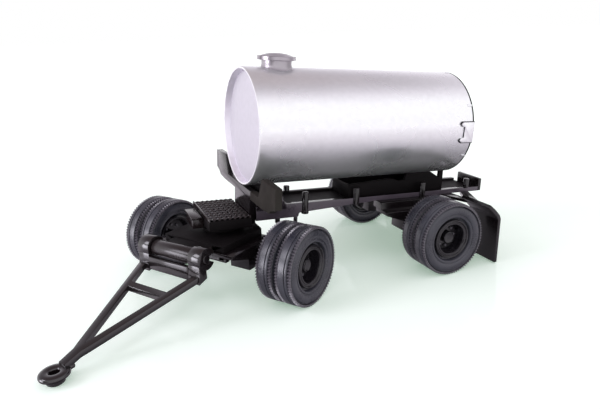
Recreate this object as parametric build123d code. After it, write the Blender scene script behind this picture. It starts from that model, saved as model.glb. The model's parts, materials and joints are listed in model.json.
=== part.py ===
"""Water tank trailer, a plastic scale model at 1:87.

World frame: X towards the tow eye, Y to the left, Z up, millimetres.
The origin is on the ground below the centre of the whole model's box.
Everything is first laid out from the point of the ground below the rear axle.
"""

import os
from math import atan2, cos, degrees, radians, sin, tan

from build123d import *

os.makedirs("parts", exist_ok=True)

# Wheels and axles
wheel_radius = 5.1
tyre_width = 2.3
twin_gap = 0.6
overall_width = 28.8
wheelbase = 27.55
axle_radius = 0.5
running_gap = 0.05
seat_gap = 0.02
rim_radius = 2.8
rim_opening = 1.94
hub_cap_radius = 0.85

# Attitude of the chassis, higher at its front, and of the towing gear
front_rise = 2.459
steer_angle = 31.5
drawbar_slope = 16.3

# Chassis, in its own level frame: u forward, v left, w up from the rear axle's centre
rail_top = 3.8
rail_outer = 3.45
rail_thickness = 0.8
rail_depth_rear = 0.7
rail_depth_front = 1.9
floor_thickness = 0.35
frame_rear = -13.4
post_radius = 0.44
post_top_left = 5.3
post_top_right = 4.5
foot_radius = 0.5
tail_height = 2.0
tail_thickness = 0.6
tail_right = -1.85

# Bolster, platform and front block, set back from the front axle or ahead of one another
bolster_setback = 2.25
bolster_thickness = 0.9
bolster_half = 12.5
arm_top = 8.7
brace_length = 4.3
brace_thickness = 0.5
tie_depth = 0.6
platform_length = 5.55
platform_half = 4.5
platform_top = 3.0
platform_thickness = 1.5
front_block_length = 1.55
front_block_half = 2.3
front_block_drop = 0.4
saddle_overlap = 0.65
saddle_length = 1.8

# Rear axle carriers and mudguards, heights from the axle's centre
carrier_outer = 6.6
carrier_reach = 5.9
carrier_bottom = -0.9
hanger_outer = 4.9
guard_inner = 8.9
guard_outer = 14.8

# Tank
tank_radius = 7.75
tank_wall = 0.35
tank_lift = 2.47
tank_rear = -7.3
tank_overhang = 0.25
tank_recess = 0.75
head_thickness = 0.8
cover_gap = 0.15
cover_inset = 0.25
cover_bulge = 0.6
manhole_setback = 4.9
manhole_radius = 2.0
neck_height = 0.83
lid_radius = 2.35
lid_thickness = 0.6
lid_bulge = 0.3
clamp_height = 0.12
hinge_thickness = 0.25
hinge_angle = -3

# Dolly and towing gear, in the dolly's frame: a forward, b left, z up from the ground
plate_top = 8.1
plate_thickness = 0.9
plate_half = 5.1
plate_front = 5.7
turntable_radius = 2.8
turntable_step = 0.35
turning_gap = 0.1
kingpin_radius = 0.8
kingpin_head = 1.3
tongue_half = 3.2
tongue_radius = 1.0
pin_ahead = 8.7
pin_height = 7.7
pin_radius = 0.55
clip_radius = 1.35
clip_inner = 3.4
clip_outer = 5.2
bar_height = 8.91
bar_depth = 0.7
eye_ahead = 25.6
eye_radius = 1.55
eye_bore = 0.48
eye_low = 0.7
eye_high = 1.35
boss_radius = 0.9

# Worked out from the dimensions above
twin_width = 2 * tyre_width + twin_gap
twin_centre = overall_width / 2 - twin_width / 2
tyre_offset = (tyre_width + twin_gap) / 2
chassis_pitch = degrees(atan2(front_rise, wheelbase))
rail_bottom = rail_top - rail_depth_rear
front_bottom = rail_top - rail_depth_front
bolster_front = wheelbase - bolster_setback
bolster_back = bolster_front - bolster_thickness
platform_front = bolster_front + platform_length
platform_bottom = platform_top - platform_thickness
tank_bottom = rail_top + tank_lift
tank_axis_height = tank_bottom + tank_radius
tank_front = bolster_front + tank_overhang
shell_back = tank_rear + cover_gap
manhole_station = tank_front - manhole_setback
manhole_top = tank_axis_height + tank_radius + neck_height
carrier_inner = rail_outer
carrier_top = plate_top - plate_thickness - wheel_radius

# Lower edge of the rails: distance behind the bolster, depth below the rails' top
rail_edge_rows = (
    (0.0, rail_depth_front),
    (6.0, rail_depth_front),
    (6.2, 1.35),
    (11.4, 1.06),
    (bolster_back - carrier_reach, rail_depth_rear),
)
# Posts beside the rails: station, foot, whether it ends in a wider foot
post_rows = (
    (bolster_back - 7.0, rail_top - 1.5, True),
    (9.4, rail_top - 0.95, False),
    (-2.2, rail_bottom, False),
    (frame_rear + 2.6, rail_top, False),
)
# Legs under the front of the rails: back and front behind the bolster, drop
leg_rows = (
    (5.95, 5.45, 0.9),
    (3.4, 2.75, 0.6),
)
# Clamps around the rear of the tank: angle from its left side, upward
clamp_angles = (26, 82, 154, 206, 270, 328)

nodes = {}


def block(x, y, z):
    """A box from its three ranges."""
    size = [hi - lo for lo, hi in (x, y, z)]
    middle = [(hi + lo) / 2 for lo, hi in (x, y, z)]
    return Pos(*middle) * Box(*size)


def side_plate(points, low, high):
    """A prism whose outline is in X and Z, between two Y values."""
    outline = Polyline(*[(x, 0, z) for x, z in points], close=True)
    return Pos(0, low, 0) * extrude(make_face(outline), high - low, dir=(0, 1, 0))


def cross_plate(points, low, high):
    """A prism whose outline is in Y and Z, between two X values."""
    outline = Polyline(*[(0, y, z) for y, z in points], close=True)
    return Pos(low, 0, 0) * extrude(make_face(outline), high - low, dir=(1, 0, 0))


def flat_plate(points, low, high):
    """A prism whose outline is in X and Y, between two Z values."""
    outline = Polyline(*[(x, y, 0) for x, y in points], close=True)
    return Pos(0, 0, low) * extrude(make_face(outline), high - low, dir=(0, 0, 1))


def rod_x(radius, low, high, y=0, z=0):
    return Pos((low + high) / 2, y, z) * Rot(0, 90, 0) * Cylinder(radius, high - low)


def rod_y(radius, low, high, x=0, z=0):
    return Pos(x, (low + high) / 2, z) * Rot(90, 0, 0) * Cylinder(radius, high - low)


def rod_z(radius, low, high, x=0, y=0):
    return Pos(x, y, (low + high) / 2) * Cylinder(radius, high - low)


def many_sided(radius, low, high, x=0, y=0):
    """An upright post of twelve flats, for the small round pieces that repeat."""
    angles = [radians(30 * step) for step in range(12)]
    return flat_plate([(x + radius * cos(a), y + radius * sin(a)) for a in angles], low, high)


def turned(profile, along):
    """A solid of revolution about the axis named by a letter, from (radius, place along it) points."""
    places = {
        "x": [(place, r, 0) for r, place in profile],
        "y": [(r, place, 0) for r, place in profile],
        "z": [(r, 0, place) for r, place in profile],
    }
    axes = {"x": Axis.X, "y": Axis.Y, "z": Axis.Z}
    return revolve(make_face(Polyline(*places[along], close=True)), axes[along])


def mirrored(points):
    """An outline's left half followed by the same points on the right."""
    return points + [(-y, z) for y, z in points[::-1]]


def on_chassis(shape):
    return Pos(0, 0, wheel_radius) * Rot(0, -chassis_pitch, 0) * shape


def on_dolly(shape):
    return Pos(wheelbase, 0, 0) * Rot(0, 0, steer_angle) * shape


def both_sides(shape):
    return shape + mirror(shape, Plane.XZ)


# Chassis frame: two side rails, deeper towards the front, a low floor between them and round posts
def chassis_frame():
    lower_edge = [(bolster_back - behind, rail_top - depth) for behind, depth in rail_edge_rows]
    rail_outline = [(bolster_back, rail_top)] + lower_edge + [(frame_rear, rail_bottom), (frame_rear, rail_top)]
    rail = side_plate(rail_outline, rail_outer - rail_thickness, rail_outer)
    floor_half = rail_outer - rail_thickness / 2
    floor_top = rail_bottom + floor_thickness
    frame = block((frame_rear, bolster_back), (-floor_half, floor_half), (rail_bottom, floor_top)) + both_sides(rail)
    for station, foot, wide in post_rows:
        frame += many_sided(post_radius, foot, post_top_left, station, rail_outer)
        frame += many_sided(post_radius, foot, post_top_right, station, -rail_outer)
        if wide:
            frame += both_sides(many_sided(foot_radius, foot, foot + post_radius, station, rail_outer))
    return frame


def bolster():
    """The front cross plate: two arms outside the tank, a low middle and a foot down to the platform."""
    upper = [
        (bolster_half, arm_top - 0.1),
        (7.8, arm_top),
        (6.6, tank_bottom - 0.2),
    ]
    lower = [
        (bolster_half, 6.0),
        (11.2, 5.6),
        (10.4, 5.1),
        (8.1, 4.95),
        (platform_half - 1.3, 4.95),
        (platform_half - 1.3, platform_bottom),
    ]
    outline = mirrored(upper) + mirrored(lower)[::-1]
    return cross_plate(outline, bolster_back, bolster_front)


def bolster_brace():
    """Slanting triangular web from each arm of the bolster down to the rail behind it."""
    corners = [
        (bolster_back, bolster_half - 0.3, arm_top - 0.3),
        (bolster_back - brace_length, rail_outer, rail_top - 0.1),
        (bolster_back, rail_outer, rail_top - 0.1),
    ]
    web = extrude(make_face(Polyline(*corners, close=True)), brace_thickness, dir=(0, 0, -1))
    tie = block((bolster_back - tie_depth, bolster_back), (-rail_outer, rail_outer), (rail_top, rail_top + 0.5))
    return both_sides(web) + tie


def front_platform():
    return block((bolster_front, platform_front), (-platform_half, platform_half), (platform_bottom, platform_top))


def front_block():
    top = platform_top - front_block_drop
    return block(
        (platform_front, platform_front + front_block_length),
        (-front_block_half, front_block_half),
        (top - platform_thickness, top),
    )


def rail_stubs():
    """Two short square legs below the front of each rail, clear of the turning dolly."""
    inner = rail_outer - rail_thickness / 2
    stubs = None
    for back, front, drop in leg_rows:
        ends = (bolster_back - back, bolster_back - front)
        leg = both_sides(block(ends, (inner, rail_outer), (front_bottom - drop, front_bottom)))
        stubs = leg if stubs is None else stubs + leg
    return stubs


def tail_plate():
    ends = (frame_rear - tail_thickness, frame_rear)
    return block(ends, (tail_right, rail_outer), (rail_bottom, rail_bottom + tail_height))


def tank_body(radius, low, high):
    return rod_x(radius, low, high, 0, tank_axis_height)


def cut_by_tank(shape):
    return shape - tank_body(tank_radius, tank_rear, tank_front)


def front_saddle():
    half = rail_outer - 0.25
    top = tank_bottom + saddle_overlap
    front = bolster_back - tie_depth
    return cut_by_tank(block((front - saddle_length, front), (-half, half), (rail_top, top)))


def rear_saddle():
    """Two upright plates from the floor to the tank, with a low ramp ahead and a post behind."""
    low = rail_bottom + floor_thickness
    top = tank_bottom + saddle_overlap
    outer = rail_outer - rail_thickness
    outline = [
        (10.2, low),
        (10.2, rail_top + 1.8),
        (4.1, rail_top + 2.15),
        (2.9, rail_top + 2.25),
        (1.7, rail_top + 1.8),
        (0.6, rail_top + 1.9),
        (0.3, top),
        (-3.7, top),
        (-5.8, rail_top + 1.9),
        (-5.8, top),
        (-6.6, top),
        (-6.6, low),
    ]
    plate = side_plate(outline, outer - 0.5, outer)
    walls = block((9.7, 10.2), (-outer, outer), (low, rail_top + 1.6))
    walls += block((-3.5, -3.0), (-outer, outer), (low, top))
    return cut_by_tank(both_sides(plate) + walls)


def carrier(back):
    """Axle carrier on the left: a block around the axle with the arm of a spring ahead and what lies behind."""
    outline = back + [
        (3.0, carrier_bottom),
        (3.0, 0.6),
        (carrier_reach, carrier_top - 0.5),
        (carrier_reach, carrier_top),
    ]
    pack = side_plate(outline, carrier_inner, carrier_outer)
    return pack - rod_y(axle_radius + seat_gap, 0, overall_width)


def rear_carrier():
    """The carrier with a spring arm at both ends and a hanger along the side of the rail."""
    back = [
        (-carrier_reach, carrier_top),
        (-carrier_reach, carrier_top - 0.5),
        (-3.0, 0.6),
        (-3.0, carrier_bottom),
    ]
    reach = (-carrier_reach, carrier_reach)
    across = (rail_outer - rail_thickness, hanger_outer)
    return carrier(back) + block(reach, across, (carrier_top, rail_bottom))


def mudguard():
    """Cover behind the wheel, bent down into a long flap, with two flat bars to the rail."""
    outer = [(-5.7, 4.5), (-6.7, 3.75), (-7.6, 2.9), (-7.9, 2.3), (-8.1, -4.25)]
    inner = [(-7.6, -4.25), (-7.4, 2.1), (-7.15, 2.6), (-6.35, 3.3), (-5.4, 4.1)]
    guard = side_plate(outer + inner, guard_inner, guard_outer)
    rail_inner = rail_outer - rail_thickness
    front = -carrier_reach - running_gap
    ahead = [(front, rail_inner), (-8.3, rail_inner), (-6.7, guard_inner + 0.4), (front, guard_inner + 0.4)]
    behind = [(-10.4, rail_inner), (-11.95, rail_inner), (-6.2, 12.0), (-6.2, 9.0)]
    band = [
        (rail_inner, rail_bottom),
        (rail_outer, rail_bottom),
        (12.0, rail_bottom + 1.06),
        (12.0, rail_bottom + 0.61),
        (rail_outer, rail_bottom - 0.45),
        (rail_inner, rail_bottom - 0.45),
    ]
    height = (0, tank_bottom)
    bars = (flat_plate(ahead, *height) + flat_plate(behind, *height)) & cross_plate(band, frame_rear, 0)
    return guard + bars


def axle_rod():
    reach = twin_centre + 0.45
    return rod_y(axle_radius, -reach, reach)


# Tank: shell, recessed front head, rear cover with its hinge and clamps, manhole
def tank_shell():
    return tank_body(tank_radius, shell_back, tank_front) - tank_body(
        tank_radius - tank_wall, shell_back - 1, tank_front + 1
    )


def tank_front_head():
    face = tank_front - tank_recess
    return tank_body(tank_radius - tank_wall - seat_gap, face - head_thickness, face)


def tank_rear_cover():
    rim = tank_radius - cover_inset
    back = tank_rear - cover_bulge
    cover = turned([(0, shell_back), (rim, shell_back), (rim, tank_rear), (0.8 * rim, back), (0, back)], "x")
    return Pos(0, 0, tank_axis_height) * cover


def around_tank(shape, angle):
    """Turns a piece drawn on the tank's left side about the tank's axis."""
    return Pos(0, 0, tank_axis_height) * Rot(angle, 0, 0) * Pos(0, 0, -tank_axis_height) * shape


def rear_hinge():
    """Waisted plate at the rear edge of the tank, with two ears that point forward."""
    half = [(0.1, 1.5), (2.15, 1.5), (2.45, 1.2), (2.2, 0.85), (1.75, 0.75)]
    outline = half + [(ahead, -up) for ahead, up in half[::-1]]
    points = [(tank_rear + ahead, tank_axis_height + up) for ahead, up in outline]
    plate = side_plate(points, tank_radius - 0.4, tank_radius + hinge_thickness)
    return cut_by_tank(around_tank(plate, hinge_angle))


def rear_clamps():
    clamps = None
    for angle in clamp_angles:
        lug = block(
            (shell_back, shell_back + 0.7),
            (tank_radius - 0.1, tank_radius + clamp_height),
            (tank_axis_height - 0.15, tank_axis_height + 0.15),
        )
        lug = cut_by_tank(around_tank(lug, angle))
        clamps = lug if clamps is None else clamps + lug
    return clamps


def manhole_neck():
    root = tank_axis_height + tank_radius - 0.5
    return cut_by_tank(rod_z(manhole_radius, root, manhole_top, manhole_station))


def manhole_lid():
    top = manhole_top + lid_thickness
    lid = rod_z(lid_radius, manhole_top, top, manhole_station)
    lid += rod_z(lid_radius - 0.7, top, top + lid_bulge, manhole_station)
    reach = lid_radius + 0.25
    return lid + block((manhole_station - reach, manhole_station + reach), (-0.3, 0.3), (manhole_top, top))


# Dolly
def dolly_plate():
    low = plate_top - plate_thickness
    half_outline = [(plate_front, plate_half), (-1.6, plate_half), (-3.0, turntable_radius)]
    plate = flat_plate(half_outline + [(a, -b) for a, b in half_outline[::-1]], low, plate_top)
    tongue = block((plate_front, pin_ahead), (-tongue_half, tongue_half), (low + 0.05, plate_top - 0.15))
    tongue += rod_y(tongue_radius, -tongue_half, tongue_half, pin_ahead, pin_height)
    hole = rod_z(kingpin_radius + running_gap, low - 1, plate_top + 1)
    return plate + tongue - hole - rod_y(pin_radius + seat_gap, -clip_outer, clip_outer, pin_ahead, pin_height)


def turntable_lower():
    ring = rod_z(turntable_radius, plate_top, plate_top + turntable_step)
    return ring - rod_z(kingpin_radius + running_gap, plate_top - 1, plate_top + 1)


def dolly_carrier():
    back = [(-1.7, carrier_top), (-2.0, 0.6), (-2.0, carrier_bottom)]
    return Pos(0, 0, wheel_radius) * carrier(back)


def dolly_beam():
    """Cross beam under the front of the plate, with a small hook at each end."""
    top = plate_top - plate_thickness
    low = top - 1.7
    ends = (plate_front - 1.5, plate_front - 0.8)
    half = carrier_inner - running_gap
    beam = block(ends, (-half, half), (low, top))
    hook = block(ends, (half, half + 1.1), (low, low + 0.3)) + block(ends, (half + 0.8, half + 1.1), (low + 0.3, low + 0.6))
    return beam + both_sides(hook)


def hinge_pin():
    return rod_y(pin_radius, -clip_outer, clip_outer, pin_ahead, pin_height)


def turntable_upper():
    """Level turning face under the pitched chassis."""
    low = plate_top + turntable_step + turning_gap
    disc = rod_z(turntable_radius, low, low + front_rise, wheelbase)
    reach = 3 * turntable_radius
    under = block((wheelbase - reach, wheelbase + reach), (-reach, reach), (platform_bottom, tank_bottom))
    return disc - on_chassis(under)


def kingpin():
    head_top = plate_top - plate_thickness - turning_gap
    pin = rod_z(kingpin_radius, head_top, plate_top + turntable_step + turning_gap, wheelbase)
    return pin + many_sided(kingpin_head, head_top - 0.4, head_top, wheelbase)


# Drawbar: an A in plan, cut from a sheet that slopes down to the tow eye
def bar_point(ahead):
    """Height of the drawbar's top face at a place ahead of the dolly's centre."""
    return bar_height - tan(radians(drawbar_slope)) * ahead


def bar_half(ahead):
    """Half of the drawbar's width over its arms at a place ahead of the dolly's centre."""
    return clip_outer - 0.12 - 0.344 * (ahead - 10)


def drawbar_frame():
    arm = 0.96
    start = pin_ahead + 0.7
    window = start + 0.75
    bar_back, bar_front = 13.2, 13.95
    apex = 22.0
    outer = [(start, bar_half(10)), (10, bar_half(10)), (apex, bar_half(apex)), (22.9, 0.6), (24.7, 0.53)]
    bar = flat_plate(outer + [(a, -b) for a, b in outer[::-1]], -wheelbase, wheelbase)
    bar -= block((0, window), (-clip_inner, clip_inner), (-wheelbase, wheelbase))
    rear_half = [(window, bar_half(window) - arm), (bar_back, bar_half(bar_back) - arm)]
    bar -= flat_plate(rear_half + [(a, -b) for a, b in rear_half[::-1]], -wheelbase, wheelbase)
    front_half = bar_half(bar_front) - arm
    bar -= flat_plate([(bar_front, front_half), (apex, 0), (bar_front, -front_half)], -wheelbase, wheelbase)
    heights = [(start - 1, bar_point(start - 1)), (eye_ahead, bar_point(eye_ahead))]
    slab = heights + [(a, z - bar_depth) for a, z in heights[::-1]]
    return bar & side_plate(slab, -clip_outer, clip_outer)


def tow_eye():
    ring = rod_z(eye_radius, eye_low, eye_high, eye_ahead) + many_sided(boss_radius, 0, eye_low, eye_ahead)
    neck = block((eye_ahead - 2.0, eye_ahead), (-boss_radius, boss_radius), (eye_low, eye_high))
    return ring + neck - drawbar_frame() - rod_z(eye_bore, -1, eye_high + 1, eye_ahead)


def hinge_block():
    """Rear cross bar of the drawbar between its clips."""
    ends = (pin_ahead + 0.8, pin_ahead + 1.45)
    return block(ends, (-clip_inner, clip_inner), (pin_height - 2.5, pin_height - 0.8))


def clip(side):
    """Open collar that snaps over the hinge pin, with its foot on the drawbar."""
    low, high = (clip_inner, clip_outer) if side > 0 else (-clip_outer, -clip_inner)
    collar = rod_y(clip_radius, low, high, pin_ahead, pin_height)
    foot_rows = ((0.2, -0.7), (0.2, -2.3), (1.5, -2.7), (1.3, -0.5))
    foot = side_plate([(pin_ahead + a, pin_height + z) for a, z in foot_rows], low, high)
    bore = rod_y(pin_radius + running_gap, low - 1, high + 1, pin_ahead, pin_height)
    mouth_rows = ((0, 0), (-3.7, 1.6), (-3.7, -2.4))
    mouth = side_plate([(pin_ahead + a, pin_height + z) for a, z in mouth_rows], low - 1, high + 1)
    return collar + foot - bore - mouth - drawbar_frame()


# Twin wheel: axis along Y, outer face towards +Y, middle of the pair at the origin
def tyre():
    half = tyre_width / 2
    profile = [
        (rim_radius, half),
        (wheel_radius, half),
        (wheel_radius, -half),
        (rim_radius, -half),
    ]
    return turned(profile, "y")


def wheel():
    outer = rim_radius - seat_gap
    bore = axle_radius + running_gap
    profile = [
        (outer, 2.35),
        (rim_opening, 2.2),
        (rim_opening, 0.6),
        (bore, 0.6),
        (bore, -2.3),
        (outer, -2.3),
    ]
    return turned(profile, "y")


def hub_cap():
    return Rot(-90, 0, 0) * many_sided(hub_cap_radius, 0.6, 1.15)


def add_wheel(name, place):
    """Four pieces of a twin wheel, carried to their place by a function."""
    nodes[name + "_tyre_outer"] = place(Pos(0, tyre_offset, 0) * tyre())
    nodes[name + "_tyre_inner"] = place(Pos(0, -tyre_offset, 0) * tyre())
    nodes[name + "_wheel"] = place(wheel())
    nodes[name + "_hub_cap"] = place(hub_cap())


for name, make in (
    ("chassis_frame", chassis_frame),
    ("bolster", bolster),
    ("bolster_brace", bolster_brace),
    ("front_platform", front_platform),
    ("front_block", front_block),
    ("rail_stubs", rail_stubs),
    ("tail_plate", tail_plate),
    ("front_saddle", front_saddle),
    ("rear_saddle", rear_saddle),
    ("tank_shell", tank_shell),
    ("tank_front_head", tank_front_head),
    ("tank_rear_cover", tank_rear_cover),
    ("rear_hinge", rear_hinge),
    ("rear_clamps", rear_clamps),
    ("manhole_neck", manhole_neck),
    ("manhole_lid", manhole_lid),
):
    nodes[name] = on_chassis(make())

left_carrier = rear_carrier()
left_guard = mudguard()
nodes["rear_carrier_left"] = on_chassis(left_carrier)
nodes["rear_carrier_right"] = on_chassis(mirror(left_carrier, Plane.XZ))
nodes["mudguard_left"] = on_chassis(left_guard)
nodes["mudguard_right"] = on_chassis(mirror(left_guard, Plane.XZ))
nodes["rear_axle"] = Pos(0, 0, wheel_radius) * axle_rod()
nodes["turntable_upper"] = turntable_upper()
nodes["kingpin"] = kingpin()

nodes["dolly_plate"] = on_dolly(dolly_plate())
nodes["turntable_lower"] = on_dolly(turntable_lower())
nodes["dolly_carrier_left"] = on_dolly(dolly_carrier())
nodes["dolly_carrier_right"] = on_dolly(mirror(dolly_carrier(), Plane.XZ))
nodes["dolly_beam"] = on_dolly(dolly_beam())
nodes["hinge_pin"] = on_dolly(hinge_pin())
nodes["front_axle"] = on_dolly(Pos(0, 0, wheel_radius) * axle_rod())

nodes["drawbar_frame"] = on_dolly(drawbar_frame())
nodes["hinge_block"] = on_dolly(hinge_block() - drawbar_frame())
nodes["clip_left"] = on_dolly(clip(1))
nodes["clip_right"] = on_dolly(clip(-1))
nodes["tow_eye"] = on_dolly(tow_eye())

for side, turn, sign in (("left", 0, 1), ("right", 180, -1)):
    spot = Pos(0, sign * twin_centre, wheel_radius) * Rot(0, 0, turn)
    add_wheel("rear_" + side, lambda shape: spot * shape)
    add_wheel("front_" + side, lambda shape: on_dolly(spot * shape))

# The origin goes below the middle of the whole model's box
boxes = [shape.bounding_box() for shape in nodes.values()]
middle_x = (min(b.min.X for b in boxes) + max(b.max.X for b in boxes)) / 2
middle_y = (min(b.min.Y for b in boxes) + max(b.max.Y for b in boxes)) / 2
lowest = min(b.min.Z for b in boxes)
shift = Pos(-middle_x, -middle_y, -lowest)

for name, shape in nodes.items():
    export_step(shift * shape, f"parts/{name}.step")


def told(label, x, y, z):
    print(label, round(x - middle_x, 4), round(y - middle_y, 4), round(z - lowest, 4))


turn = radians(steer_angle)
told("rear axle centre", 0, 0, wheel_radius)
told("kingpin and front axle centre", wheelbase, 0, wheel_radius)
told("drawbar hinge", wheelbase + pin_ahead * cos(turn), pin_ahead * sin(turn), pin_height)
told("tow eye on the ground", wheelbase + eye_ahead * cos(turn), eye_ahead * sin(turn), 0)
print("steered axle direction", round(-sin(turn), 6), round(cos(turn), 6))
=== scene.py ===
"""Looks of the water tank trailer model: satin black mouldings, a silver tank and toothed twin tyres."""

import json
from math import atan2, cos, pi, radians, sin, sqrt

import bmesh
import bpy
from mathutils import Matrix, Vector

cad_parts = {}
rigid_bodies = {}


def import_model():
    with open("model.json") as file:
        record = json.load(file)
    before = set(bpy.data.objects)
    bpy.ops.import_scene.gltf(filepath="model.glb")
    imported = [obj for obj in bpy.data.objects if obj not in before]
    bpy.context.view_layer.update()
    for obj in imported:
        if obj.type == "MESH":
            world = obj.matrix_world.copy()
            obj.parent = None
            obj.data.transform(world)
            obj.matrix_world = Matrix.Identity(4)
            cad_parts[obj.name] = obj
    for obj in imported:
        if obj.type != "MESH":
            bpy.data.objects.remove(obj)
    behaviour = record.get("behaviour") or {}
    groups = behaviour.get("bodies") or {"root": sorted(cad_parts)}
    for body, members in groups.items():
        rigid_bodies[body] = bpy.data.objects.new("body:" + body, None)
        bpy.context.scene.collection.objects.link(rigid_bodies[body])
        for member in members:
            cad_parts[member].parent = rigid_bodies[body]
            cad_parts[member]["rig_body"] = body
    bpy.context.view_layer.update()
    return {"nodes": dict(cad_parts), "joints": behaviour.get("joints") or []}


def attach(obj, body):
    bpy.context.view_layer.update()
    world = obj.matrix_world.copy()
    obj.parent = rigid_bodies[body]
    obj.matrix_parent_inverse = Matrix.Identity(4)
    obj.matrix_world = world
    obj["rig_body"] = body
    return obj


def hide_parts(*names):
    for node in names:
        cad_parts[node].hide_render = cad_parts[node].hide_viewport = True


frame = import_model()
joints = {joint["name"]: joint for joint in frame["joints"]}

# Driving sizes in millimetres and degrees
MM = 0.001
WHEEL_RADIUS = 5.1
TWIN_CENTRE = 11.8
TYRE_OFFSET = 1.45
CHASSIS_PITCH = 5.1
STEER_ANGLE = 31.5
TANK_AXIS = 14.02
TANK_RADIUS = 7.75
TANK_WALL = 0.35
TANK_FRONT = 25.55
SHELL_BACK = -7.15
MANHOLE_STATION = 20.65
MANHOLE_TOP = 22.6
PLATFORM_BACK = 25.3
PLATFORM_FRONT = 30.85
PLATFORM_HALF = 4.5
PLATFORM_TOP = 3.0
PLATFORM_BOTTOM = 1.5
RAIL_OUTER = 3.45
EYE_AHEAD = 25.6
EYE_BORE = 0.48
ARM_ROOT = 3.6
LEAF_INNER = 3.5
LEAF_OUTER = 6.67
LEAF_THICK = 0.24

# Rounding of hard edges: steps and least angle. Joining of a CAD mesh: distance in metres, and the angle
# up to which it counts as flat
EDGE_SEGMENTS = 2
EDGE_ANGLE = 32
WELD = 2e-7
FLAT_ANGLE = 1.5
# Vertices of the roped sheet, along and across
ROPE_GRID = (91, 137)

# The camera fitted to the photograph: photograph sizes in pixels, places in millimetres from the point
# on the ground below the rear axle, turns in radians
PHOTO_WIDTH = 600
SENSOR_WIDTH = 36
FOCAL_PIXELS = 541.98
CENTRE_PIXELS = (343.8, 204.5)
FRAME_CENTRE = (300, 185.5)
CAMERA_PLACE = (44.568, 68.641, 33.968)
CAMERA_AIM = (18, 0, 12)
CAMERA_TURN = -0.1067
CAMERA_TIP = -0.0021
CAMERA_ROLL = -0.0295

# The two soft lamps: their colour and the point in metres that they face
WINDOW_TINT = (0.93, 0.90, 1.0)
WINDOW_AIM = (0, 0, 0.008)

# The three places that everything is laid out from, as matrices that take millimetres
rear_axle = Vector(joints["rear_left_wheel_spin"]["pos_m"])
front_axle = Vector(joints["steering"]["pos_m"])
ground = Matrix.Translation((rear_axle.x, rear_axle.y, 0)) @ Matrix.Scale(MM, 4)
chassis = (
    Matrix.Translation(rear_axle)
    @ Matrix.Rotation(radians(-CHASSIS_PITCH), 4, "Y")
    @ Matrix.Scale(MM, 4)
)
dolly = (
    Matrix.Translation((front_axle.x, front_axle.y, 0))
    @ Matrix.Rotation(radians(STEER_ANGLE), 4, "Z")
    @ Matrix.Scale(MM, 4)
)
# Stands a shape that was turned about X upright, along Z
UPRIGHT = Matrix.Rotation(radians(-90), 4, "Y")


# Node making and arithmetic on sockets
class Value:
    """A socket that takes part in plain arithmetic."""

    def __init__(self, tree, socket):
        self.tree = tree
        self.socket = socket

    def maths(self, operation, first, second=0.0):
        return self.tree.node("ShaderNodeMath", {"operation": operation}, {0: first, 1: second}).value()

    def __add__(self, other):
        return self.maths("ADD", self, other)

    def __radd__(self, other):
        return self.maths("ADD", other, self)

    def __sub__(self, other):
        return self.maths("SUBTRACT", self, other)

    def __rsub__(self, other):
        return self.maths("SUBTRACT", other, self)

    def __mul__(self, other):
        return self.maths("MULTIPLY", self, other)

    def __rmul__(self, other):
        return self.maths("MULTIPLY", other, self)

    def __truediv__(self, other):
        return self.maths("DIVIDE", self, other)

    def __rtruediv__(self, other):
        return self.maths("DIVIDE", other, self)

    def sine(self):
        return self.maths("SINE", self)

    def size(self):
        return self.maths("ABSOLUTE", self)

    def larger(self, other):
        return self.maths("MAXIMUM", self, other)


class Made:
    """A node in a tree."""

    def __init__(self, tree, node):
        self.tree = tree
        self.node = node

    def value(self, output=0):
        return Value(self.tree, self.node.outputs[output])


class Tree:
    """A node tree of a material, a world or a geometry modifier."""

    def __init__(self, tree):
        self.tree = tree
        self.tree.nodes.clear()

    def node(self, kind, settings=None, sockets=None):
        made = self.tree.nodes.new(kind)
        for name, setting in (settings or {}).items():
            if name == "stops":
                self.set_stops(made.color_ramp, setting)
            else:
                setattr(made, name, setting)
        for name, value in (sockets or {}).items():
            if isinstance(value, Value):
                self.tree.links.new(value.socket, made.inputs[name])
            else:
                made.inputs[name].default_value = value
        return Made(self, made)

    @staticmethod
    def set_stops(ramp, stops):
        while len(ramp.elements) > 1:
            ramp.elements.remove(ramp.elements[-1])
        for index, (place, colour) in enumerate(stops):
            stop = ramp.elements[0] if index == 0 else ramp.elements.new(place)
            stop.position = place
            stop.color = (*colour, 1)

    def ramp(self, factor, stops):
        return self.node("ShaderNodeValToRGB", {"stops": stops}, {"Fac": factor}).value()

    def blend(self, factor, first, second):
        # A Mix node has its colour sockets at 6 and 7 and its colour output at 2
        return self.node("ShaderNodeMix", {"data_type": "RGBA"}, {0: factor, 6: first, 7: second}).value(2)

    def spread(self, factor, low, high, out_low, out_high):
        """Maps a factor's range onto another, clamped."""
        sockets = {"Value": factor, "From Min": low, "From Max": high, "To Min": out_low, "To Max": out_high}
        return self.node("ShaderNodeMapRange", {"clamp": True}, sockets).value()

    def product(self, first, second):
        settings = {"data_type": "RGBA", "blend_type": "MULTIPLY"}
        return self.node("ShaderNodeMix", settings, {0: 1.0, 6: first, 7: second}).value(2)


class Finish(Tree):
    """A material and the nodes that make it."""

    def __init__(self, name):
        self.material = bpy.data.materials.new(name)
        self.material.use_nodes = True
        super().__init__(self.material.node_tree)

    def place(self):
        return self.node("ShaderNodeTexCoord").value("Object")

    def noise(self, place, scale, detail=3.0, roughness=0.5):
        sockets = {"Vector": place, "Scale": scale, "Detail": detail, "Roughness": roughness}
        return self.node("ShaderNodeTexNoise", {}, sockets).value()

    def bump(self, height, strength, distance):
        sockets = {"Height": height, "Strength": strength, "Distance": distance}
        return self.node("ShaderNodeBump", {}, sockets).value()

    def surface(self, **sockets):
        named = {name.replace("_", " "): value for name, value in sockets.items()}
        shader = self.node("ShaderNodeBsdfPrincipled", {}, named)
        self.node("ShaderNodeOutputMaterial", {}, {"Surface": shader.value()})
        return self.material


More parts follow.
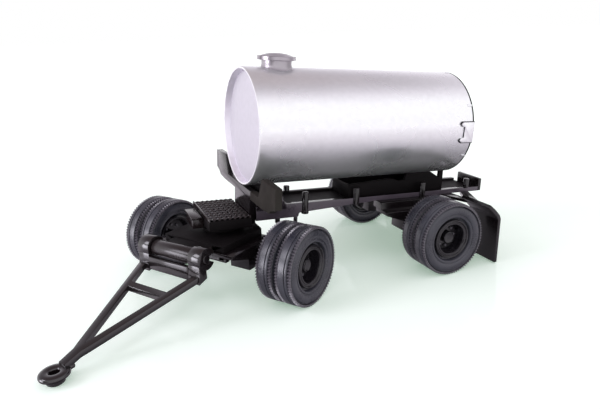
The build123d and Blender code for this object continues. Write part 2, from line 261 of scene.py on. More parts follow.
def black_plastic(name, colour, rough, grain=0.006, gloss=1.5):
    """Satin moulding: faint flow marks, a fine pebbled skin and patches that shine a little more."""
    f = Finish(name)
    place = f.place()
    cloud = f.noise(place, 160)
    fine = f.noise(place, 5200, 3, 0.65)
    flow = f.noise(place, 700, 4, 0.6)
    pale = tuple(c * 1.7 + 0.002 for c in colour)
    base = f.blend(f.spread(cloud * 0.6 + flow * 0.4, 0.35, 0.7, 0, 1), (*colour, 1), (*pale, 1))
    roughness = f.spread(cloud * 0.5 + flow * 0.5, 0.3, 0.7, rough - 0.06, rough + 0.08)
    skin = f.bump(fine * 0.6 + flow * 0.4, 0.5, grain * MM)
    return f.surface(Base_Color=base, Roughness=roughness, Normal=skin, IOR=gloss)


def silver_plastic(name, colour, rough):
    """Silver painted plastic with a fine metal flake and slight clouding."""
    f = Finish(name)
    place = f.place()
    cloud = f.noise(place, 120)
    flake = f.noise(place, 1400, 1, 0.4)
    dark = tuple(c * 0.955 for c in colour)
    base = f.blend(f.spread(flake * 0.6 + cloud * 0.4, 0.36, 0.64, 0, 1), (*dark, 1), (*colour, 1))
    roughness = f.spread(cloud, 0.3, 0.7, rough - 0.04, rough + 0.05)
    skin = f.bump(flake, 0.05, 0.006 * MM)
    return f.surface(Base_Color=base, Roughness=roughness, Normal=skin, Metallic=0.8, IOR=1.5)


def tyre_plastic(name):
    """Softer, bluish black of the tyres, with fine scuffs."""
    f = Finish(name)
    place = f.place()
    cloud = f.noise(place, 260, 4, 0.6)
    fine = f.noise(place, 6500, 3, 0.6)
    base = f.blend(f.spread(cloud, 0.35, 0.68, 0, 1), (0.030, 0.030, 0.040, 1), (0.054, 0.054, 0.069, 1))
    roughness = f.spread(cloud * 0.6 + fine * 0.4, 0.3, 0.7, 0.22, 0.34)
    skin = f.bump(fine, 0.45, 0.008 * MM)
    return f.surface(Base_Color=base, Roughness=roughness, Normal=skin, IOR=1.5)


frame_black = black_plastic("chassis_satin_black", (0.005, 0.0035, 0.0042), 0.18)
platform_black = black_plastic("platform_brown_black", (0.010, 0.0065, 0.0068), 0.24)
drawbar_black = black_plastic("drawbar_satin_black", (0.006, 0.004, 0.0045), 0.15, 0.006, 1.65)
# Painted shade: a darker black that hardly reflects, for the parts that lie in shade under the tank and the
# platform
shade_deck_black = black_plastic("deck_dull_black", (0.004, 0.003, 0.0034), 0.6, 0.01, 1.2)
# Painted light: a much lighter black for the rails' outer sides, where the light falls
rail_lit_black = black_plastic("rail_side_black", (0.060, 0.048, 0.062), 0.30)
hub_black = black_plastic("wheel_gloss_black", (0.007, 0.006, 0.008), 0.19)
# Painted shade: a dark black for the shade in the tank's rear joint and round the hinge plate
joint_shade_black = black_plastic("joint_line_black", (0.012, 0.010, 0.013), 0.5, 0.006, 1.3)
tyre_black = tyre_plastic("tyre_black")
tank_silver = silver_plastic("tank_silver", (0.90, 0.90, 0.92), 0.28)
# Painted shade: a darker, matter copy of the tank's paint for its front face
head_shade_silver = silver_plastic("tank_head_silver", (0.66, 0.64, 0.69), 0.56)
# Painted light: a lighter, lilac copy of the tank's paint for the rim's inner side
rim_lit_silver = silver_plastic("tank_rim_silver", (0.92, 0.89, 0.95), 0.5)
# Painted shade: a much darker copy of the tank's paint for the manhole's collar and cap
manhole_silver = silver_plastic("manhole_silver", (0.40, 0.37, 0.40), 0.27)
# Painted shade: a black that hardly reflects, for the left bolster arm, which lies in shade
arm_shade_black = black_plastic("arm_dull_black", (0.026, 0.023, 0.021), 0.6, 0.01, 1.06)
# Painted highlight: a lighter grey on the tread teeth and bolt heads, standing in for the glints on them
glint_grey = black_plastic("scuffed_edge_grey", (0.085, 0.078, 0.092), 0.26)


# Mesh making
def to_object(name, mesh, material, body, replaced=(), sharp=35):
    """Finishes a mesh that is already in its place."""
    if not mesh.materials:
        mesh.materials.append(material)
    for index, painted in enumerate(list(mesh.materials)):
        mesh.materials[index] = painted or material
    mesh.shade_smooth()
    mesh.set_sharp_from_angle(angle=radians(sharp))
    piece = bpy.data.objects.new(name, mesh)
    bpy.context.scene.collection.objects.link(piece)
    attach(piece, body)
    if replaced:
        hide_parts(*replaced)
    return piece


def mesh_of(bm, name, place=Matrix.Identity(4)):
    """Turns a bmesh drawn in millimetres into a mesh in its place."""
    bm.transform(place)
    mesh = bpy.data.meshes.new(name)
    bm.to_mesh(mesh)
    bm.free()
    return mesh


def evaluated(holder):
    """A plain mesh from an object with live modifiers, which goes."""
    bpy.context.view_layer.update()
    seen = holder.evaluated_get(bpy.context.evaluated_depsgraph_get())
    made = bpy.data.meshes.new_from_object(seen)
    made.name = holder.name + "_mesh"
    bpy.data.objects.remove(holder)
    return made


def held(mesh, name="holder"):
    """An object that carries a mesh while modifiers work on it."""
    holder = bpy.data.objects.new(name, mesh)
    bpy.context.scene.collection.objects.link(holder)
    return holder


def bevelled(mesh, width):
    """The mesh with its hard edges rounded, width in millimetres."""
    holder = held(mesh)
    bevel = holder.modifiers.new("edges", "BEVEL")
    bevel.width = width * MM
    bevel.segments = EDGE_SEGMENTS
    bevel.limit_method = "ANGLE"
    bevel.angle_limit = radians(EDGE_ANGLE)
    return evaluated(holder)


def dress(node, material, width, cut=None):
    """A copy of a frame node with rounded edges, which replaces it. A cut splits its faces at that Y."""
    source = frame["nodes"][node]
    bm = bmesh.new()
    bm.from_mesh(source.data)
    bmesh.ops.remove_doubles(bm, verts=bm.verts, dist=WELD)
    bmesh.ops.dissolve_limit(
        bm, angle_limit=radians(FLAT_ANGLE), use_dissolve_boundaries=False, verts=bm.verts, edges=bm.edges
    )
    if cut is not None:
        everything = list(bm.verts) + list(bm.edges) + list(bm.faces)
        bmesh.ops.bisect_plane(
            bm, geom=everything, dist=1e-8, plane_co=(0, cut * MM, 0), plane_no=(0, 1, 0)
        )
    mesh = mesh_of(bm, node)
    body = source["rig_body"]
    return to_object(node + "_dressed", bevelled(mesh, width), material, body, (node,))


def repaint(piece, material, place, chosen):
    """Gives another finish to the faces whose centre and normal, in a frame's millimetres, are chosen."""
    mesh = piece.data
    mesh.materials.append(material)
    back = place.inverted()
    turn = back.to_3x3().normalized()
    for polygon in mesh.polygons:
        if chosen(back @ polygon.center, turn @ polygon.normal):
            polygon.material_index = len(mesh.materials) - 1


def turned(profile, segments=96, bm=None, place=Matrix.Identity(4)):
    """Adds a closed outline of (radius, along) points turned about X to a bmesh."""
    bm = bm or bmesh.new()
    rings = []
    for step in range(segments):
        angle = 2 * pi * step / segments
        ring = [place @ Vector((along, r * cos(angle), r * sin(angle))) for r, along in profile]
        rings.append([bm.verts.new(point) for point in ring])
    made = [vert for ring in rings for vert in ring]
    faces = []
    for step in range(segments):
        here, there = rings[step], rings[(step + 1) % segments]
        for index in range(len(profile)):
            after = (index + 1) % len(profile)
            faces.append(bm.faces.new((here[index], there[index], there[after], here[after])))
    bmesh.ops.remove_doubles(bm, verts=made, dist=1e-5)
    bmesh.ops.recalc_face_normals(bm, faces=[face for face in faces if face.is_valid])
    return bm


def block(x, y, z, bm=None):
    """Adds a box from its three ranges to a bmesh."""
    bm = bm or bmesh.new()
    corners = [bm.verts.new((a, b, c)) for a in x for b in y for c in z]
    for indices in ((0, 1, 3, 2), (4, 6, 7, 5), (0, 4, 5, 1), (2, 3, 7, 6), (0, 2, 6, 4), (1, 5, 7, 3)):
        bm.faces.new([corners[index] for index in indices])
    return bm


def add(name, bm, place, material, body, replaced=(), width=0.0, sharp=35):
    """Puts a bmesh drawn in millimetres in its place, with its edges rounded where a width is given."""
    mesh = mesh_of(bm, name, place)
    if width:
        mesh = bevelled(mesh, width)
    return to_object(name, mesh, material, body, replaced, sharp)


# Camera, floor and light
def look():
    """The photograph's place and direction."""
    eye = Vector(CAMERA_PLACE)
    aim = Vector(CAMERA_AIM) - eye
    bearing = atan2(aim.y, aim.x) + CAMERA_TURN
    rise = atan2(aim.z, sqrt(aim.x**2 + aim.y**2)) + CAMERA_TIP
    ahead = Vector((cos(rise) * cos(bearing), cos(rise) * sin(bearing), sin(rise)))
    right = ahead.cross(Vector((0, 0, 1))).normalized()
    up = right.cross(ahead)
    across = right * cos(CAMERA_ROLL) + up * sin(CAMERA_ROLL)
    above = up * cos(CAMERA_ROLL) - right * sin(CAMERA_ROLL)
    turn = Matrix((across, above, -ahead)).transposed().to_4x4()
    camera = bpy.data.cameras.new("camera")
    camera.sensor_width = SENSOR_WIDTH
    camera.lens = FOCAL_PIXELS * SENSOR_WIDTH / PHOTO_WIDTH
    camera.shift_x = (FRAME_CENTRE[0] - CENTRE_PIXELS[0]) / PHOTO_WIDTH
    camera.shift_y = (FRAME_CENTRE[1] - CENTRE_PIXELS[1]) / PHOTO_WIDTH
    camera.clip_start = 0.005
    camera.clip_end = 20
    holder = bpy.data.objects.new("camera", camera)
    holder.matrix_world = Matrix.Translation(ground @ eye) @ turn
    bpy.context.scene.collection.objects.link(holder)
    bpy.context.scene.camera = holder


def soft_light(name, place, size, power):
    """A rectangular lamp that faces the model, in metres."""
    lamp = bpy.data.lights.new(name, "AREA")
    lamp.shape = "RECTANGLE"
    lamp.size, lamp.size_y = size
    lamp.energy = power
    lamp.color = WINDOW_TINT
    holder = bpy.data.objects.new(name, lamp)
    holder.location = place
    direction = Vector(WINDOW_AIM) - Vector(place)
    holder.rotation_euler = direction.to_track_quat("-Z", "Y").to_euler()
    bpy.context.scene.collection.objects.link(holder)


def pale_floor():
    """A glass shelf: white with pale green shadows, and in reflections darker where it is seen steeply."""
    f = Finish("floor_pale")
    rays = f.node("ShaderNodeLightPath")
    glossy = rays.value("Is Glossy Ray")
    seen = rays.value("Is Camera Ray").larger(glossy).larger(rays.value("Is Transmission Ray"))
    facing = f.node("ShaderNodeLayerWeight", {}, {"Blend": 0.5}).value("Facing")
    stops = (
        (0.0, (0.05, 0.045, 0.05)),
        (0.06, (0.105, 0.095, 0.105)),
        (0.2, (0.25, 0.235, 0.26)),
        (0.4, (0.49, 0.465, 0.51)),
        (0.62, (0.86, 0.82, 0.87)),
    )
    depth = f.ramp(facing, stops)
    # The camera sees green shadows on white, and the tank's paint mirrors the plain ramp
    glow = f.blend(seen, (0, 0, 0, 1), f.blend(glossy, (0.56, 0.86, 0.62, 1), depth))
    thrown = f.blend(seen, (0.72, 0.84, 0.75, 1), (1.0, 1.0, 1.0, 1))
    base = f.blend(glossy, thrown, f.product(depth, (0.8, 0.8, 0.8, 1)))
    f.surface(Base_Color=base, Roughness=0.045, IOR=1.3, Emission_Color=glow, Emission_Strength=0.33)
    bm = bmesh.new()
    bmesh.ops.create_grid(bm, x_segments=1, y_segments=1, size=1.5)
    mesh = mesh_of(bm, "floor")
    mesh.materials.append(f.material)
    floor = bpy.data.objects.new("floor", mesh)
    bpy.context.scene.collection.objects.link(floor)


def studio():
    """Bright walls and a dimmer, warmer ceiling that comes lower on the far side. The camera sees white."""
    world = bpy.data.worlds.new("studio")
    world.use_nodes = True
    f = Tree(world.node_tree)
    direction = f.node("ShaderNodeTexCoord").value("Generated")
    split = f.node("ShaderNodeSeparateXYZ", {}, {"Vector": direction})
    height = split.value("Z") * 0.94 - split.value("Y") * 0.34
    stops = (
        (0.0, (0.985, 0.975, 1.0)),
        (0.42, (0.985, 0.975, 1.0)),
        (0.617, (0.75, 0.71, 0.77)),
        (0.72, (0.56, 0.52, 0.57)),
        (0.81, (0.40, 0.37, 0.405)),
        (0.90, (0.34, 0.29, 0.31)),
        (0.97, (0.32, 0.265, 0.27)),
    )
    # Two dark parts of the room: at the model's left front, and behind it
    front = f.spread(split.value("X") * 0.94 + split.value("Y") * 0.34, 0.84, 0.96, 0, 1)
    rear = f.spread(split.value("X") * -1.0, 0.80, 0.97, 0, 0.6)
    dark = front.larger(rear) * 0.86
    colour = f.blend(dark, f.ramp(height, stops), (0.05, 0.04, 0.05, 1))
    room = f.node("ShaderNodeBackground", {}, {"Color": colour, "Strength": 1.25})
    white = f.node("ShaderNodeBackground", {}, {"Color": (1, 1, 1, 1), "Strength": 1.0})
    camera_ray = f.node("ShaderNodeLightPath").value("Is Camera Ray")
    both = f.node("ShaderNodeMixShader", {}, {0: camera_ray, 1: room.value(), 2: white.value()})
    f.node("ShaderNodeOutputWorld", {}, {"Surface": both.value()})
    bpy.context.scene.world = world


look()
pale_floor()
studio()
soft_light("window_low", (0.32, -0.02, 0.045), (0.14, 0.09), 0.35)
soft_light("window_high", (0.28, -0.03, 0.20), (0.12, 0.12), 0.26)
bpy.context.scene.view_settings.view_transform = "Standard"


# Geometry trees for what repeats
class Shape(Tree):
    """A geometry tree with named inputs, run once on a holder."""

    def __init__(self, name):
        super().__init__(bpy.data.node_groups.new(name, "GeometryNodeTree"))
        self.sockets = {}
        self.tree.interface.new_socket("Geometry", in_out="INPUT", socket_type="NodeSocketGeometry")
        self.tree.interface.new_socket("Geometry", in_out="OUTPUT", socket_type="NodeSocketGeometry")

    def inputs(self, **kinds):
        """Adds the named inputs, Int or Float, and gives them back with the incoming geometry."""
        for name, kind in kinds.items():
            made = self.tree.interface.new_socket(name, in_out="INPUT", socket_type="NodeSocket" + kind)
            self.sockets[name] = made.identifier
        entry = self.node("NodeGroupInput")
        return [entry.value("Geometry")] + [entry.value(name) for name in kinds]

    def finish(self, geometry, kept, material):
        """Makes the instances real, paints them and joins them to the incoming geometry."""
        real = self.node("GeometryNodeRealizeInstances", {}, {"Geometry": geometry}).value()
        paint = self.node("GeometryNodeSetMaterial", {}, {"Geometry": real, "Material": material}).value()
        join = self.node("GeometryNodeJoinGeometry")
        for part in (paint, kept):
            self.tree.links.new(part.socket, join.node.inputs["Geometry"])
        self.node("NodeGroupOutput", {}, {"Geometry": join.value()})
        return self

    def run(self, mesh, **values):
        """The mesh with the tree's shapes added to it."""
        holder = held(mesh, self.tree.name)
        modifier = holder.modifiers.new("shapes", "NODES")
        modifier.node_group = self.tree
        for name, value in values.items():
            modifier[self.sockets[name]] = value
        return evaluated(holder)


def ring_tree(name, material):
    """Small prisms evenly around Z, such as tread teeth and bolt heads."""
    s = Shape(name)
    kept, count, radius, sides, size, depth, lift = s.inputs(
        Count="Int", Radius="Float", Sides="Int", Size="Float", Depth="Float", Lift="Float"
    )
    circle = s.node("GeometryNodeMeshCircle", {}, {"Vertices": count, "Radius": radius}).value()
    sockets = {"Vertices": sides, "Radius": size, "Depth": depth}
    prism = s.node("GeometryNodeMeshCylinder", {}, sockets).value()
    turn = s.node("GeometryNodeInputIndex").value() * (2 * pi) / count
    facing = s.node("ShaderNodeCombineXYZ", {}, {"Z": turn}).value()
    sockets = {"Points": circle, "Instance": prism, "Rotation": facing}
    ring = s.node("GeometryNodeInstanceOnPoints", {}, sockets).value()
    offset = s.node("ShaderNodeCombineXYZ", {}, {"Z": lift}).value()
    moved = s.node("GeometryNodeTransform", {}, {"Geometry": ring, "Translation": offset}).value()
    return s.finish(moved, kept, material)


def rope_tree(material):
    """A sheet of wavy ropes along X, as on the front platform."""
    s = Shape("platform_ropes")
    kept, length, width, pitch, wave, height = s.inputs(
        Length="Float", Width="Float", Pitch="Float", Wave="Float", Height="Float"
    )
    sockets = {"Size X": length, "Size Y": width, "Vertices X": ROPE_GRID[0], "Vertices Y": ROPE_GRID[1]}
    grid = s.node("GeometryNodeMeshGrid", {}, sockets).value()
    place = s.node("GeometryNodeInputPosition").value()
    split = s.node("ShaderNodeSeparateXYZ", {}, {"Vector": place})
    along = split.value("X") * (2 * pi) / wave
    across = split.value("Y") + along.sine() * pitch * 0.15
    rope = (across * pi / pitch).sine().size()
    knot = (along + across * pi / pitch).sine() * 0.09
    lift = (rope + knot * rope) * height
    offset = s.node("ShaderNodeCombineXYZ", {}, {"Z": lift}).value()
    sheet = s.node("GeometryNodeSetPosition", {}, {"Geometry": grid, "Offset": offset}).value()
    return s.finish(sheet, kept, material)


# Wheels. Outlines hold (radius, along the axle) points, and each wheel part stands along Z, outer face up
def wheel_part(name, profile, segments):
    """A turned shape with its axis along Z, in metres."""
    mesh = mesh_of(turned(profile, segments), name, UPRIGHT)
    mesh.transform(Matrix.Scale(MM, 4))
    return mesh


def toothed_tyre():
    """One tyre: a ring with a groove and raised rings, toothed along both edges of the tread."""
    outer_half = [
        (2.80, 0.46),
        (3.00, 0.50),
        (3.07, 0.90),
        (3.16, 1.02),
        (3.34, 1.06),
        (3.42, 0.99),
        (3.50, 0.99),
        (3.58, 1.08),
        (3.78, 1.15),
        (4.06, 1.15),
        (4.30, 1.11),
        (4.50, 1.04),
        (4.54, 0.99),
        (4.60, 1.03),
        (4.66, 0.98),
        (4.69, 0.76),
        (4.84, 0.70),
        (5.03, 0.68),
        (5.09, 0.62),
    ]
    tread = [
        (WHEEL_RADIUS, 0.56),
        (WHEEL_RADIUS, 0.38),
        (5.07, 0.34),
        (4.97, 0.33),
        (4.97, 0.25),
        (5.07, 0.24),
        (WHEEL_RADIUS, 0.20),
        (WHEEL_RADIUS, -0.56),
    ]
    inner_half = [(r, -along) for r, along in outer_half[::-1]]
    mesh = wheel_part("tyre_ring", outer_half + tread + inner_half, 168)
    # The teeth are in the lighter grey of a painted highlight
    teeth = ring_tree("tread_teeth", glint_grey)
    tooth = {"Count": 80, "Radius": 4.87 * MM, "Sides": 3, "Size": 0.222 * MM, "Depth": 0.38 * MM}
    for lift in (0.93, -0.93):
        mesh = teeth.run(mesh, Lift=lift * MM, **tooth)
    return mesh


def wheel_places():
    """Each twin wheel's name and the matrix, in metres, that takes its own +Z to its outer face."""
    for axle, base in (("rear", ground), ("front", dolly)):
        for side, sign in (("left", 1), ("right", -1)):
            centre = Matrix.Translation((0, sign * TWIN_CENTRE * MM, WHEEL_RADIUS * MM))
            lay = Matrix.Rotation(radians(-90 * sign), 4, "X")
            yield f"{axle}_{side}", base @ Matrix.Scale(1 / MM, 4) @ centre @ lay


def wheel_disc():
    """Rim of a twin wheel with its stepped flange and a ring of bolt heads on each side of the disc."""
    profile = [
        (2.78, 1.60),
        (2.78, 2.30),
        (2.72, 2.40),
        (2.60, 2.42),
        (2.52, 2.36),
        (2.46, 2.26),
        (2.34, 2.26),
        (2.28, 2.32),
        (2.14, 2.32),
        (2.06, 2.24),
        (2.00, 2.10),
        (1.96, 1.70),
        (1.94, 0.80),
        (1.86, 0.66),
        (1.10, 0.62),
        (0.56, 0.60),
        (0.56, -1.10),
        (1.10, -1.15),
        (1.80, -1.25),
        (2.10, -1.40),
        (2.22, -2.10),
        (2.34, -2.28),
        (2.60, -2.38),
        (2.78, -2.28),
    ]
    mesh = wheel_part("rim", profile, 96)
    # The bolt heads are in the lighter grey of a painted highlight
    bolts = ring_tree("hub_bolts", glint_grey)
    bolt = {"Count": 8, "Radius": 1.38 * MM, "Sides": 6, "Size": 0.2 * MM, "Depth": 0.3 * MM}
    for lift in (0.72, -1.22):
        mesh = bolts.run(mesh, Lift=lift * MM, **bolt)
    return mesh


def hub_disc():
    """Cap of the axle's end, with a shallow sunk face."""
    profile = [
        (0, 0.58),
        (0.85, 0.58),
        (0.85, 1.52),
        (0.81, 1.62),
        (0.72, 1.66),
        (0.62, 1.62),
        (0.2, 1.58),
        (0, 1.58),
    ]
    return wheel_part("hub", profile, 48)


tyre_mesh, rim_mesh, hub_mesh = toothed_tyre(), wheel_disc(), hub_disc()
for wheel_name, spot in wheel_places():
    wheel_body = wheel_name + "_wheels"
    for which, sign in (("outer", 1), ("inner", -1)):
        copy = tyre_mesh.copy()
        copy.transform(spot @ Matrix.Translation((0, 0, sign * TYRE_OFFSET * MM)))
        node = f"{wheel_name}_tyre_{which}"
        to_object(node + "_toothed", copy, tyre_black, wheel_body, (node,), 28)
    for source, label, node in ((rim_mesh, "_rim", "_wheel"), (hub_mesh, "_hub", "_hub_cap")):
        copy = source.copy()
        copy.transform(spot)
        stands_for = (wheel_name + node,)
        to_object(wheel_name + label, copy, hub_black, wheel_body, stands_for, 30)


# Tank
tank_frame = chassis @ Matrix.Translation((0, 0, TANK_AXIS))
inner_radius = TANK_RADIUS - TANK_WALL
shell_profile = [
    (TANK_RADIUS - 0.06, SHELL_BACK),
    (TANK_RADIUS, SHELL_BACK + 0.08),
    (TANK_RADIUS, TANK_FRONT - 0.30),
    (TANK_RADIUS - 0.03, TANK_FRONT - 0.12),
    (TANK_RADIUS - 0.10, TANK_FRONT - 0.02),
    (TANK_RADIUS - 0.20, TANK_FRONT),
    (inner_radius + 0.06, TANK_FRONT - 0.03),
    (inner_radius, TANK_FRONT - 0.12),
    (inner_radius, SHELL_BACK),
]
skin = add(
    "tank_skin", turned(shell_profile, 192), tank_frame, tank_silver, "chassis",
    ("tank_shell",),
)
# The rim's inner side is about as matt as the head, and its lighter, lilac paint is painted light that lifts
# its shade
repaint(skin, rim_lit_silver, tank_frame, lambda centre, normal: centre.yz.length < inner_radius + 0.05)
head_profile = [
    (0, 24.0),
    (inner_radius, 24.0),
    (inner_radius, 24.60),
    (7.22, 24.74),
    (6.9, 24.82),
    (5.4, 24.90),
    (3.0, 24.97),
    (0, 25.0),
]
# The front face takes the darker copy of the paint, which is painted shade
add(
    "tank_front_face", turned(head_profile, 160), tank_frame, head_shade_silver, "chassis",
    ("tank_front_head",),
)
cover_profile = [
    (0, SHELL_BACK),
    (7.5, SHELL_BACK),
    (7.5, -7.26),
    (7.42, -7.36),
    (7.0, -7.50),
    (5.6, -7.70),
    (3.2, -7.84),
    (0, -7.9),
]
add(
    "tank_rear_face", turned(cover_profile, 160), tank_frame, tank_silver, "chassis",
    ("tank_rear_cover",),
)
# The rear joint: a dark ring a little proud of the shell's end. The joint is real; its dark colour is
# painted shade in the gap
seam_back, seam_in, seam_out = SHELL_BACK - 0.17, 7.3, TANK_RADIUS + 0.005
seam_profile = [(seam_in, seam_back), (seam_out, seam_back), (seam_out, SHELL_BACK), (seam_in, SHELL_BACK)]
add("tank_rear_seam", turned(seam_profile, 160), tank_frame, joint_shade_black, "chassis")

manhole_frame = chassis @ Matrix.Translation((MANHOLE_STATION, 0, 0)) @ UPRIGHT
neck_profile = [
    (0, 21.2),
    (2.36, 21.36),
    (2.16, 21.62),
    (2.06, 21.86),
    (2.0, 22.1),
    (2.0, MANHOLE_TOP),
    (0, MANHOLE_TOP),
]
# The collar and cap take the darker copy of the paint, which is painted shade
add(
    "manhole_collar", turned(neck_profile, 72), manhole_frame, manhole_silver, "chassis",
    ("manhole_neck",),
)
lid_profile = [
    (0, MANHOLE_TOP),
    (2.26, MANHOLE_TOP),
    (2.35, MANHOLE_TOP + 0.08),
    (2.35, MANHOLE_TOP + 0.50),
    (2.28, MANHOLE_TOP + 0.59),
    (2.10, MANHOLE_TOP + 0.62),
    (1.70, MANHOLE_TOP + 0.76),
    (1.20, MANHOLE_TOP + 0.89),
    (0.60, MANHOLE_TOP + 0.97),
    (0, MANHOLE_TOP + 0.99),
]
lid = turned(lid_profile, 72)
for low, high in ((-2.6, -2.2), (2.2, 2.6)):
    # Turned shapes are drawn along X, so across the lid is -Z here
    block((MANHOLE_TOP + 0.04, MANHOLE_TOP + 0.58), (-0.3, 0.3), (low, high), lid)
add("manhole_cap", lid, manhole_frame, manhole_silver, "chassis", ("manhole_lid",))
dress("rear_hinge", tank_silver, 0.05)


def hinge_shadow_line():
    """A painted shadow round the hinge plate: a dark copy of its own outline, a little larger and set back.
    """
    bm = bmesh.new()
    bm.from_mesh(frame["nodes"]["rear_hinge"].data)
    bmesh.ops.remove_doubles(bm, verts=bm.verts, dist=WELD)
    bm.transform(tank_frame.inverted())
    middle = sum((vert.co for vert in bm.verts), Vector()) / len(bm.verts)
    grow = Matrix.Diagonal((1.07, 1, 1.06, 1))
    set_back = Matrix.Translation((middle.x + 0.04, middle.y - 0.16, middle.z))
    bm.transform(set_back @ grow @ Matrix.Translation(-middle))
    add("hinge_painted_shadow_line", bm, tank_frame, joint_shade_black, "chassis")


hinge_shadow_line()
dress("rear_clamps", tank_silver, 0.03)


# Front platform with its ropes and rim, and the plate ahead of it
def front_platform():
    """Slab with a sheet of ropes on it and a thin rim along its front edge."""
    sheet_low = PLATFORM_TOP - 0.22
    across = (-PLATFORM_HALF, PLATFORM_HALF)
    slab = mesh_of(block((PLATFORM_BACK, PLATFORM_FRONT), across, (PLATFORM_BOTTOM, sheet_low)), "slab")
    # The ropes are drawn about the middle of the slab's top, in millimetres
    middle = (PLATFORM_BACK + PLATFORM_FRONT) / 2
    slab.transform(Matrix.Translation((-middle, 0, -sheet_low)))
    slab.transform(Matrix.Scale(MM, 4))
    slab = bevelled(slab, 0.05)
    mesh = rope_tree(platform_black).run(
        slab,
        Length=(PLATFORM_FRONT - PLATFORM_BACK - 0.28) * MM,
        Width=2 * (PLATFORM_HALF - 0.06) * MM,
        Pitch=0.92 * MM,
        Wave=0.66 * MM,
        Height=0.24 * MM,
    )
    mesh.transform(chassis @ Matrix.Translation((middle, 0, sheet_low)) @ Matrix.Scale(1 / MM, 4))
    # The slab under the ropes takes the painted-shade black
    to_object("platform_ropes", mesh, shade_deck_black, "chassis", ("front_platform",), sharp=50)
    rim = block((PLATFORM_FRONT - 0.16, PLATFORM_FRONT), across, (2.5, PLATFORM_TOP + 0.06))
    add("platform_rim", rim, chassis, platform_black, "chassis", width=0.04)


front_platform()
step = block((PLATFORM_FRONT + 0.25, 32.45), (-2.4, 1.75), (2.28, 2.62))
block((PLATFORM_FRONT - 0.02, 32.25), (-2.2, 1.6), (1.1, 2.3), step)
add("front_step", step, chassis, platform_black, "chassis", ("front_block",), width=0.05)


# Round posts beside the rails: station, foot, whether the foot is wide
posts = bmesh.new()
for station, foot, wide in ((17.4, 2.3, True), (9.4, 2.85, False), (-2.2, 3.1, False), (-10.8, 3.8, False)):
    for side, top in ((1, 5.3), (-1, 4.5)):
        shaft = [(0, 0), (0.40, 0), (0.45, 0.05)]
        tip = [(0.45, -0.1), (0.38, 0), (0.2, 0.04), (0, 0.05)]
        profile = [(r, foot + up) for r, up in shaft] + [(r, top + up) for r, up in tip]
        spot = Matrix.Translation((station, side * RAIL_OUTER, 0)) @ UPRIGHT
        turned(profile, 24, posts, spot)
        if wide:
            knob = [(0, -0.04), (0.42, -0.02), (0.52, 0.08), (0.52, 0.38), (0.42, 0.48), (0, 0.5)]
            turned([(r, foot + up) for r, up in knob], 24, posts, spot)
add("rail_posts", posts, chassis, frame_black, "chassis")

# Leaf springs on the carriers: half length, top
leaf_rows = ((5.8, 2.06), (5.1, 1.76), (4.25, 1.46), (3.45, 1.16))
for axle, back, base, body in (("rear", -5.8, chassis, "chassis"), ("dolly", -1.75, dolly, "dolly")):
    lift = 0 if axle == "rear" else WHEEL_RADIUS
    for side, sign in (("left", 1), ("right", -1)):
        leaves = bmesh.new()
        for reach, top in leaf_rows:
            across = sorted((sign * LEAF_INNER, sign * LEAF_OUTER))
            block((max(back, -reach), reach), across, (lift + top - LEAF_THICK, lift + top), leaves)
        add(f"{axle}_leaves_{side}", leaves, base, frame_black, body, width=0.03)


# Tow eye: rounded ring on a boss, with a short neck into the drawbar, in (radius, height) points
eye = turned(
    [
        (EYE_BORE, 0.86),
        (0.60, 0.72),
        (1.36, 0.72),
        (1.50, 0.84),
        (1.55, 1.02),
        (1.50, 1.20),
        (1.36, 1.32),
        (1.10, 1.37),
        (0.74, 1.36),
        (0.56, 1.28),
        (EYE_BORE, 1.16),
    ],
    72,
)
turned([(0.50, 0.02), (0.80, 0.02), (0.90, 0.12), (0.90, 0.66), (0.96, 0.8), (0.50, 0.8)], 48, eye)
eye_frame = dolly @ Matrix.Translation((EYE_AHEAD, 0, 0)) @ UPRIGHT
add("eye_ring", eye, eye_frame, drawbar_black, "drawbar", ("tow_eye",), sharp=40)
neck = block((EYE_AHEAD - 2.0, EYE_AHEAD - 1.0), (-0.6, 0.6), (0.74, 1.34))
add("eye_neck", neck, dolly, drawbar_black, "drawbar", width=0.22)

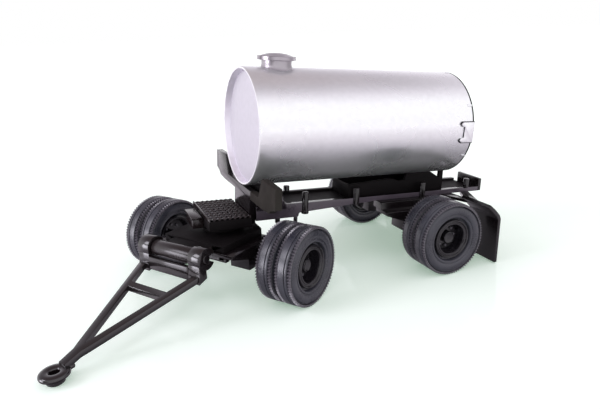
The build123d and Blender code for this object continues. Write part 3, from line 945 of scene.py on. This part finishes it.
# The other mouldings keep the frame's shape, with their edges rounded: width of the edges, finish, nodes
mouldings = (
    (0.07, frame_black, ("chassis_frame", "bolster", "bolster_brace", "rail_stubs", "tail_plate")),
    # The saddles, turntables and kingpin take the painted-shade black of the parts under the tank and
    # platform
    (0.07, shade_deck_black, ("front_saddle", "rear_saddle", "turntable_upper", "turntable_lower", "kingpin")),
    (0.07, frame_black, ("rear_axle", "front_axle", "rear_carrier_left", "rear_carrier_right")),
    (0.07, frame_black, ("dolly_carrier_left", "dolly_carrier_right")),
    (0.08, frame_black, ("mudguard_left", "mudguard_right", "dolly_beam", "hinge_pin")),
    # The dolly plate takes the painted-shade black too; its hinge roll keeps a shining finish
    (0.08, shade_deck_black, ("dolly_plate",)),
    (0.14, drawbar_black, ("drawbar_frame", "hinge_block", "clip_left", "clip_right")),
)
hinge = dolly.inverted() @ Vector(joints["drawbar_hinge"]["pos_m"])


def between_rails(centre, normal):
    """The low floor between the rails and their inner sides, which lie in shade under the tank: their
    darker, hardly reflecting black is painted shade.
    """
    return abs(centre.y) < RAIL_OUTER - 0.7 and normal.z > -0.5


def rail_side(centre, normal):
    """The outer sides of the rails, which catch the light: their lighter black is painted light."""
    return abs(centre.y) > RAIL_OUTER - 0.15 and abs(normal.y) > 0.9


def near_arm(centre, normal):
    """The left arm of the bolster, which hardly reflects where the right one shines: painted shade."""
    return centre.y > ARM_ROOT - 0.1


def hinge_roll(centre, normal):
    """The roll round the hinge pin, which shines."""
    return centre.x > hinge.x - 1.1


# Faces of a moulding with a finish of their own: the place they are measured from, which faces, finish
second_finishes = {
    "chassis_frame": ((chassis, between_rails, shade_deck_black), (chassis, rail_side, rail_lit_black)),
    "bolster": ((chassis, near_arm, arm_shade_black),),
    "dolly_plate": ((dolly, hinge_roll, platform_black),),
}
for width, material, names in mouldings:
    for node in names:
        piece = dress(node, material, width, cut=ARM_ROOT if node == "bolster" else None)
        for place, chosen, finish in second_finishes.get(node, ()):
            repaint(piece, finish, place, chosen)
